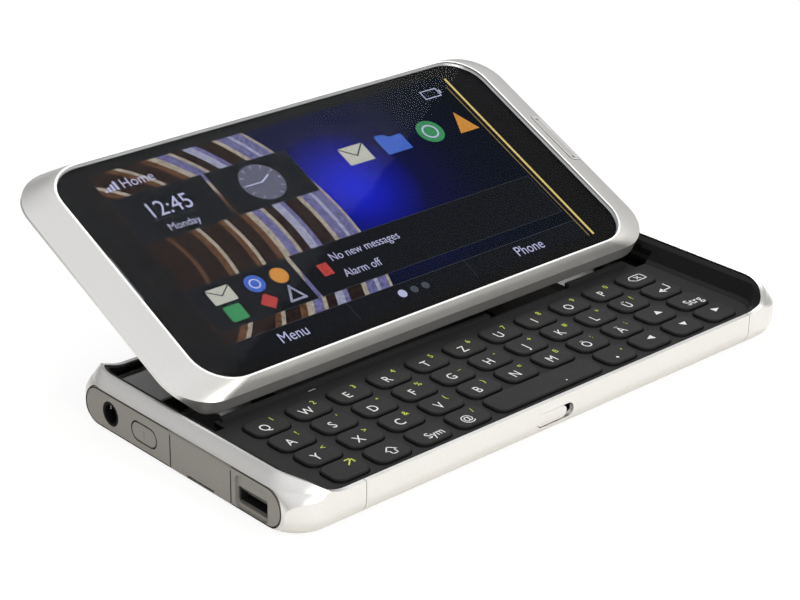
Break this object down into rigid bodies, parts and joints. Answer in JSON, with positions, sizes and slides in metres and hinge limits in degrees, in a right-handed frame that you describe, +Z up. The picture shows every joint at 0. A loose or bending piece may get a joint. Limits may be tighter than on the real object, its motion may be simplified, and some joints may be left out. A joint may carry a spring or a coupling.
{
  "type": "slider phone",
  "caption": "Silver landscape slider phone, open: display half swings back and tilts up on four links over a keyboard base with sockets in its left end.",
  "frame": {"origin": "centre of the flat underside of the keyboard base", "axes": "+X along the long side towards the right end, +Y away from the user, +Z up"},
  "size_m": [0.1238, 0.0866, 0.0383],
  "materials": {
    "silver": "satin silver lacquer",
    "silver_trim": "satin silver lacquer",
    "taupe": "fine satin",
    "deck_black": "satin",
    "key_black": "soft satin",
    "glass": "polished",
    "screen": "polished",
    "cover_grey": "satin",
    "steel": "fine brushed",
    "pin_steel": "polished",
    "plated": "plated sheet",
    "board": "solder mask",
    "foil": "matt foil",
    "black_part": "matt",
    "window": "polished",
    "lamp": "polished",
    "mesh": "fine mesh",
    "flex": "polyimide film",
    "dome": "film"
  },
  "bodies": {
    "base": {"base_shell": "silver", "end_cap_left": "silver_trim", "end_cap_right": "silver_trim", "port_panel": "taupe", "keypad_deck": "deck_black", "key_dome_sheet": "dome", "well_plate": "black_part", "hinge_brackets": "steel", "base_pivot_pins": "pin_steel", "hinge_springs": "pin_steel", "main_board": "board", "shield_cans": "plated", "battery": "foil", "audio_jack": "black_part", "jack_cover": "cover_grey", "micro_usb_socket": "plated", "mini_hdmi_socket": "plated", "camera_module": "black_part", "camera_window": "window", "flash_leds": "lamp", "loudspeaker": "black_part", "speaker_grille": "mesh", "vibration_motor": "pin_steel", "base_screws": "pin_steel", "flex_cable": "flex"},
    "lift_arms": {"lift_arms": "steel"},
    "guide_links": {"guide_links": "steel"},
    "display": {"display_frame": "silver", "cover_glass": "glass", "display_panel": "screen", "display_chassis": "steel", "back_cover": "cover_grey", "display_pivot_pins": "pin_steel", "earpiece": "black_part", "earpiece_mesh": "mesh", "front_camera": "window", "display_screws": "pin_steel"},
    "home_key": {"home_key": "silver_trim"},
    "power_key": {"power_key": "taupe"},
    "port_flap": {"port_flap": "taupe"},
    "lock_slider": {"lock_slider": "silver_trim"},
    "volume_slider": {"volume_slider": "silver_trim"},
    "shutter_key": {"shutter_key": "silver_trim"},
    "sim_tray": {"sim_tray": "silver_trim"},
    "letter_keys_row_1": {"letter_keys_row_1": "key_black"},
    "letter_keys_row_2": {"letter_keys_row_2": "key_black"},
    "letter_keys_row_3": {"letter_keys_row_3": "key_black"},
    "key_backspace": {"key_backspace": "key_black"},
    "key_enter": {"key_enter": "key_black"},
    "key_ctrl": {"key_ctrl": "key_black"},
    "key_up": {"key_up": "key_black"},
    "key_fn": {"key_fn": "key_black"},
    "key_shift": {"key_shift": "key_black"},
    "key_sym": {"key_sym": "key_black"},
    "key_at": {"key_at": "key_black"},
    "key_space": {"key_space": "key_black"},
    "key_dot": {"key_dot": "key_black"},
    "key_left": {"key_left": "key_black"},
    "key_down": {"key_down": "key_black"},
    "key_right": {"key_right": "key_black"}
  },
  "joints": [
    {"name": "arm_swing", "type": "hinge", "parent": "base", "child": "lift_arms", "pos_m": [0, 0.02114, 0.0032], "axis": [1, 0, 0], "range_deg": [0, 94.76], "deforming": ["flex_cable"]},
    {"name": "display_tilt", "type": "hinge", "parent": "lift_arms", "child": "display", "pos_m": [0, 0.02908, 0.02274], "axis": [1, 0, 0], "range_deg": [-120.61, 0]},
    {"name": "guide_swing", "type": "hinge", "parent": "base", "child": "guide_links", "pos_m": [0, 0.02639, 0.0032], "axis": [1, 0, 0], "range_deg": [0, 91.6]},
    {"name": "home_key_press", "type": "slide", "parent": "display", "child": "home_key", "axis": [0, 0.4352, -0.9003], "range_m": [0, 0.00025], "stiffness_N_per_m": 900, "springref_m": -0.0003},
    {"name": "power_key_press", "type": "slide", "parent": "base", "child": "power_key", "axis": [1, 0, 0], "range_m": [0, 0.0003], "stiffness_N_per_m": 900, "springref_m": -0.0003},
    {"name": "port_flap_hinge", "type": "hinge", "parent": "base", "child": "port_flap", "pos_m": [-0.06125, -0.0055, 0.00738], "axis": [0, 1, 0], "range_deg": [0, 100]},
    {"name": "lock_slide", "type": "slide", "parent": "base", "child": "lock_slider", "axis": [1, 0, 0], "range_m": [0, 0.0015], "stiffness_N_per_m": 300, "springref_m": -0.0008},
    {"name": "volume_slide", "type": "slide", "parent": "base", "child": "volume_slider", "axis": [1, 0, 0], "range_m": [-0.0012, 0.0012], "stiffness_N_per_m": 400},
    {"name": "shutter_key_press", "type": "slide", "parent": "base", "child": "shutter_key", "axis": [0, -1, 0], "range_m": [0, 0.0004], "stiffness_N_per_m": 900, "springref_m": -0.0003},
    {"name": "sim_tray_slide", "type": "slide", "parent": "base", "child": "sim_tray", "axis": [1, 0, 0], "range_m": [0, 0.024]},
    {"name": "letter_keys_row_1_press", "type": "slide", "parent": "base", "child": "letter_keys_row_1", "axis": [0, 0, -1], "range_m": [0, 0.00035], "stiffness_N_per_m": 900, "springref_m": -0.0003},
    {"name": "letter_keys_row_2_press", "type": "slide", "parent": "base", "child": "letter_keys_row_2", "axis": [0, 0, -1], "range_m": [0, 0.00035], "stiffness_N_per_m": 900, "springref_m": -0.0003},
    {"name": "letter_keys_row_3_press", "type": "slide", "parent": "base", "child": "letter_keys_row_3", "axis": [0, 0, -1], "range_m": [0, 0.00035], "stiffness_N_per_m": 900, "springref_m": -0.0003},
    {"name": "key_backspace_press", "type": "slide", "parent": "base", "child": "key_backspace", "axis": [0, 0, -1], "range_m": [0, 0.00035], "stiffness_N_per_m": 900, "springref_m": -0.0003},
    {"name": "key_enter_press", "type": "slide", "parent": "base", "child": "key_enter", "axis": [0, 0, -1], "range_m": [0, 0.00035], "stiffness_N_per_m": 900, "springref_m": -0.0003},
    {"name": "key_ctrl_press", "type": "slide", "parent": "base", "child": "key_ctrl", "axis": [0, 0, -1], "range_m": [0, 0.00035], "stiffness_N_per_m": 900, "springref_m": -0.0003},
    {"name": "key_up_press", "type": "slide", "parent": "base", "child": "key_up", "axis": [0, 0, -1], "range_m": [0, 0.00035], "stiffness_N_per_m": 900, "springref_m": -0.0003},
    {"name": "key_fn_press", "type": "slide", "parent": "base", "child": "key_fn", "axis": [0, 0, -1], "range_m": [0, 0.00035], "stiffness_N_per_m": 900, "springref_m": -0.0003},
    {"name": "key_shift_press", "type": "slide", "parent": "base", "child": "key_shift", "axis": [0, 0, -1], "range_m": [0, 0.00035], "stiffness_N_per_m": 900, "springref_m": -0.0003},
    {"name": "key_sym_press", "type": "slide", "parent": "base", "child": "key_sym", "axis": [0, 0, -1], "range_m": [0, 0.00035], "stiffness_N_per_m": 900, "springref_m": -0.0003},
    {"name": "key_at_press", "type": "slide", "parent": "base", "child": "key_at", "axis": [0, 0, -1], "range_m": [0, 0.00035], "stiffness_N_per_m": 900, "springref_m": -0.0003},
    {"name": "key_space_press", "type": "slide", "parent": "base", "child": "key_space", "axis": [0, 0, -1], "range_m": [0, 0.00035], "stiffness_N_per_m": 900, "springref_m": -0.0003},
    {"name": "key_dot_press", "type": "slide", "parent": "base", "child": "key_dot", "axis": [0, 0, -1], "range_m": [0, 0.00035], "stiffness_N_per_m": 900, "springref_m": -0.0003},
    {"name": "key_left_press", "type": "slide", "parent": "base", "child": "key_left", "axis": [0, 0, -1], "range_m": [0, 0.00035], "stiffness_N_per_m": 900, "springref_m": -0.0003},
    {"name": "key_down_press", "type": "slide", "parent": "base", "child": "key_down", "axis": [0, 0, -1], "range_m": [0, 0.00035], "stiffness_N_per_m": 900, "springref_m": -0.0003},
    {"name": "key_right_press", "type": "slide", "parent": "base", "child": "key_right", "axis": [0, 0, -1], "range_m": [0, 0.00035], "stiffness_N_per_m": 900, "springref_m": -0.0003}
  ],
  "couplings": [
    {"joint": "display_tilt", "follows": "arm_swing", "ratio": -1.2723},
    {"joint": "guide_swing", "follows": "arm_swing", "ratio": 0.96615}
  ]
}
